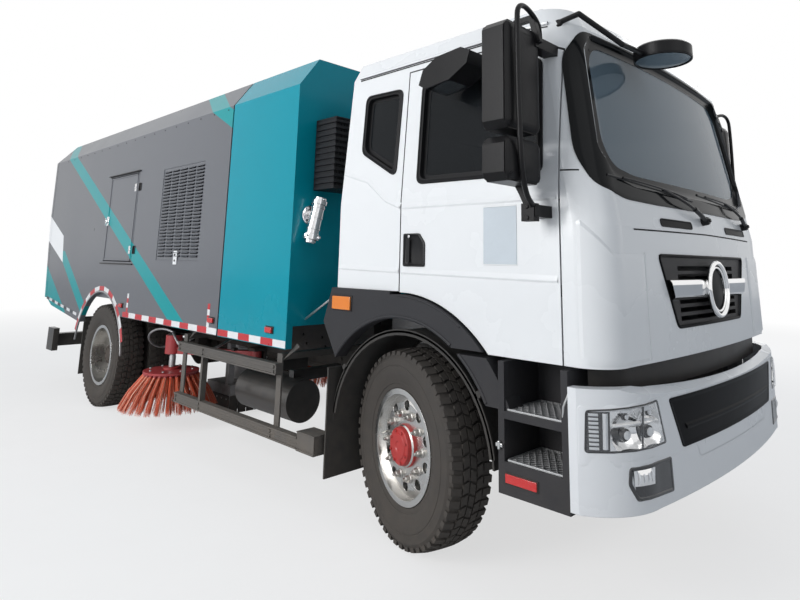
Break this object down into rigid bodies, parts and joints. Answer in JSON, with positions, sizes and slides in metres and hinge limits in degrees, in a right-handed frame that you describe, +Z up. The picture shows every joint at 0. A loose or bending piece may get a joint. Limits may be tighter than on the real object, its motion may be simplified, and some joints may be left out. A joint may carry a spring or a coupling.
{
  "type": "street sweeper truck",
  "caption": "Two-axle street sweeper truck with tilt cab, tipping hopper, side brushes, suction nozzle and twin rear wheels.",
  "frame": {"origin": "on the ground, below the middle of the truck's length and width", "axes": "+X forward, +Y to the truck's left, +Z up"},
  "size_m": [8.25, 3.08, 3.05],
  "materials": {
    "chassis_paint": "satin",
    "axle_iron": "rough",
    "engine_iron": "rough",
    "core_alloy": "matt",
    "tank_alloy": "satin",
    "tank_black": "satin",
    "bumper_paint": "gloss",
    "black_plastic": "matt",
    "lamp_lens": "clear",
    "red_lens": "gloss",
    "flare_plastic": "matt",
    "mud_rubber": "matt",
    "guard_steel": "satin",
    "teal_paint": "gloss",
    "valve_steel": "satin",
    "hopper_paint": "gloss",
    "nozzle_steel": "satin",
    "ram_steel": "satin",
    "rod_chrome": "polished",
    "cab_paint": "gloss",
    "glass": "clear",
    "seat_fabric": "woven",
    "dash_plastic": "matt",
    "mirror_black": "gloss",
    "tyre_rubber": "matt",
    "wheel_alloy": "polished",
    "knuckle_iron": "rough",
    "bristle": "matt",
    "arm_red": "satin"
  },
  "bodies": {
    "chassis": {"frame_rails": "chassis_paint", "cross_members": "chassis_paint", "subframe": "chassis_paint", "front_axle_beam": "axle_iron", "rear_axle": "axle_iron", "drive_shaft": "axle_iron", "leaf_springs": "chassis_paint", "engine_block": "engine_iron", "radiator": "core_alloy", "fuel_tank": "tank_alloy", "air_tank": "tank_black", "front_bumper": "bumper_paint", "bumper_grille": "black_plastic", "front_lamps": "lamp_lens", "cab_steps": "black_plastic", "mudguards": "mud_rubber", "side_guards": "guard_steel", "rear_bumper": "tank_black", "tail_lamps": "red_lens", "front_housing": "teal_paint", "sweeper_engine": "engine_iron", "filler_valve": "valve_steel", "air_intake": "black_plastic", "suction_nozzle": "nozzle_steel"},
    "knuckle_left": {"knuckle_left": "knuckle_iron"},
    "knuckle_right": {"knuckle_right": "knuckle_iron"},
    "wheel_front_left": {"tyre_front_left": "tyre_rubber", "rim_front_left": "wheel_alloy"},
    "wheel_front_right": {"tyre_front_right": "tyre_rubber", "rim_front_right": "wheel_alloy"},
    "wheels_rear_left": {"tyres_rear_left": "tyre_rubber", "rims_rear_left": "wheel_alloy"},
    "wheels_rear_right": {"tyres_rear_right": "tyre_rubber", "rims_rear_right": "wheel_alloy"},
    "cab": {"cab_shell": "cab_paint", "windscreen": "glass", "cab_side_glass": "glass", "front_grille": "black_plastic", "cab_flares": "flare_plastic", "seats": "seat_fabric", "dashboard": "dash_plastic", "front_mirror": "mirror_black"},
    "door_left": {"door_left": "cab_paint", "door_glass_left": "glass", "mirror_left": "mirror_black"},
    "door_right": {"door_right": "cab_paint", "door_glass_right": "glass", "mirror_right": "mirror_black"},
    "hopper": {"hopper_shell": "hopper_paint", "louvre_panels": "hopper_paint"},
    "hatch_left": {"hatch_left": "hopper_paint"},
    "hatch_right": {"hatch_right": "hopper_paint"},
    "tailgate": {"tailgate": "hopper_paint"},
    "ram_barrels": {"ram_barrels": "ram_steel"},
    "ram_rods": {"ram_rods": "rod_chrome"},
    "brush_arm_left": {"brush_arm_left": "arm_red"},
    "brush_arm_right": {"brush_arm_right": "arm_red"},
    "brush_left": {"brush_left": "bristle"},
    "brush_right": {"brush_right": "bristle"}
  },
  "joints": [
    {"name": "steer_left", "type": "hinge", "parent": "chassis", "child": "knuckle_left", "pos_m": [2.7, 0.83, 0.52], "axis": [0, 0, 1], "range_deg": [-24.6, 51.4]},
    {"name": "steer_right", "type": "hinge", "parent": "chassis", "child": "knuckle_right", "pos_m": [2.7, -0.83, 0.52], "axis": [0, 0, 1], "range_deg": [-24.6, 51.4]},
    {"name": "wheel_front_left_spin", "type": "hinge", "parent": "knuckle_left", "child": "wheel_front_left", "pos_m": [2.73476, 0.97592, 0.52], "axis": [0.2317, 0.9728, 0], "continuous": true},
    {"name": "wheels_rear_left_spin", "type": "hinge", "parent": "chassis", "child": "wheels_rear_left", "pos_m": [-1.8, 1.09, 0.52], "axis": [0, 1, 0], "continuous": true},
    {"name": "wheel_front_right_spin", "type": "hinge", "parent": "knuckle_right", "child": "wheel_front_right", "pos_m": [2.66524, -0.97592, 0.52], "axis": [0.2317, 0.9728, 0], "continuous": true},
    {"name": "wheels_rear_right_spin", "type": "hinge", "parent": "chassis", "child": "wheels_rear_right", "pos_m": [-1.8, -1.09, 0.52], "axis": [0, 1, 0], "continuous": true},
    {"name": "cab_tilt", "type": "hinge", "parent": "chassis", "child": "cab", "pos_m": [3.85, 0, 0.745], "axis": [0, 1, 0], "range_deg": [0, 45]},
    {"name": "door_left_swing", "type": "hinge", "parent": "cab", "child": "door_left", "pos_m": [3.705, 1.157, 1.42], "axis": [0, 0, -1], "range_deg": [0, 65]},
    {"name": "door_right_swing", "type": "hinge", "parent": "cab", "child": "door_right", "pos_m": [3.705, -1.157, 1.42], "axis": [0, 0, 1], "range_deg": [0, 65]},
    {"name": "hopper_tip", "type": "hinge", "parent": "chassis", "child": "hopper", "pos_m": [-3.65, 0, 1.02], "axis": [0, -1, 0], "range_deg": [0, 45]},
    {"name": "tailgate_lift", "type": "hinge", "parent": "hopper", "child": "tailgate", "pos_m": [-3.812, 0, 3.036], "axis": [0, 1, 0], "range_deg": [0, 80]},
    {"name": "hatch_left_swing", "type": "hinge", "parent": "hopper", "child": "hatch_left", "pos_m": [-1.1293, 1.246, 1.49], "axis": [0, 0, -1], "range_deg": [0, 110]},
    {"name": "hatch_right_swing", "type": "hinge", "parent": "hopper", "child": "hatch_right", "pos_m": [-1.1293, -1.246, 1.49], "axis": [0, 0, 1], "range_deg": [0, 110]},
    {"name": "ram_lean", "type": "hinge", "parent": "chassis", "child": "ram_barrels", "pos_m": [-2.6, 0, 0.45], "axis": [0, -1, 0], "range_deg": [-8, 8]},
    {"name": "ram_extend", "type": "slide", "parent": "ram_barrels", "child": "ram_rods", "axis": [-0.5579, 0, 0.8299], "range_m": [-0.01, 0.5041]},
    {"name": "brush_arm_left_swing", "type": "hinge", "parent": "chassis", "child": "brush_arm_left", "pos_m": [0.1, 0.5, 0.64], "axis": [0, 0, -1], "range_deg": [0, 18]},
    {"name": "brush_left_spin", "type": "hinge", "parent": "brush_arm_left", "child": "brush_left", "pos_m": [-0.65, 0.95, 0.47], "axis": [0, 0, 1], "continuous": true},
    {"name": "brush_arm_right_swing", "type": "hinge", "parent": "chassis", "child": "brush_arm_right", "pos_m": [0.1, -0.5, 0.64], "axis": [0, 0, 1], "range_deg": [0, 18]},
    {"name": "brush_right_spin", "type": "hinge", "parent": "brush_arm_right", "child": "brush_right", "pos_m": [-0.65, -0.95, 0.47], "axis": [0, 0, 1], "continuous": true}
  ],
  "couplings": [
    {"joint": "steer_right", "follows": "steer_left", "ratio": 1},
    {"joint": "ram_lean", "follows": "hopper_tip", "ratio": -0.08383},
    {"joint": "ram_extend", "follows": "hopper_tip", "m_per_rad": 0.62906}
  ]
}
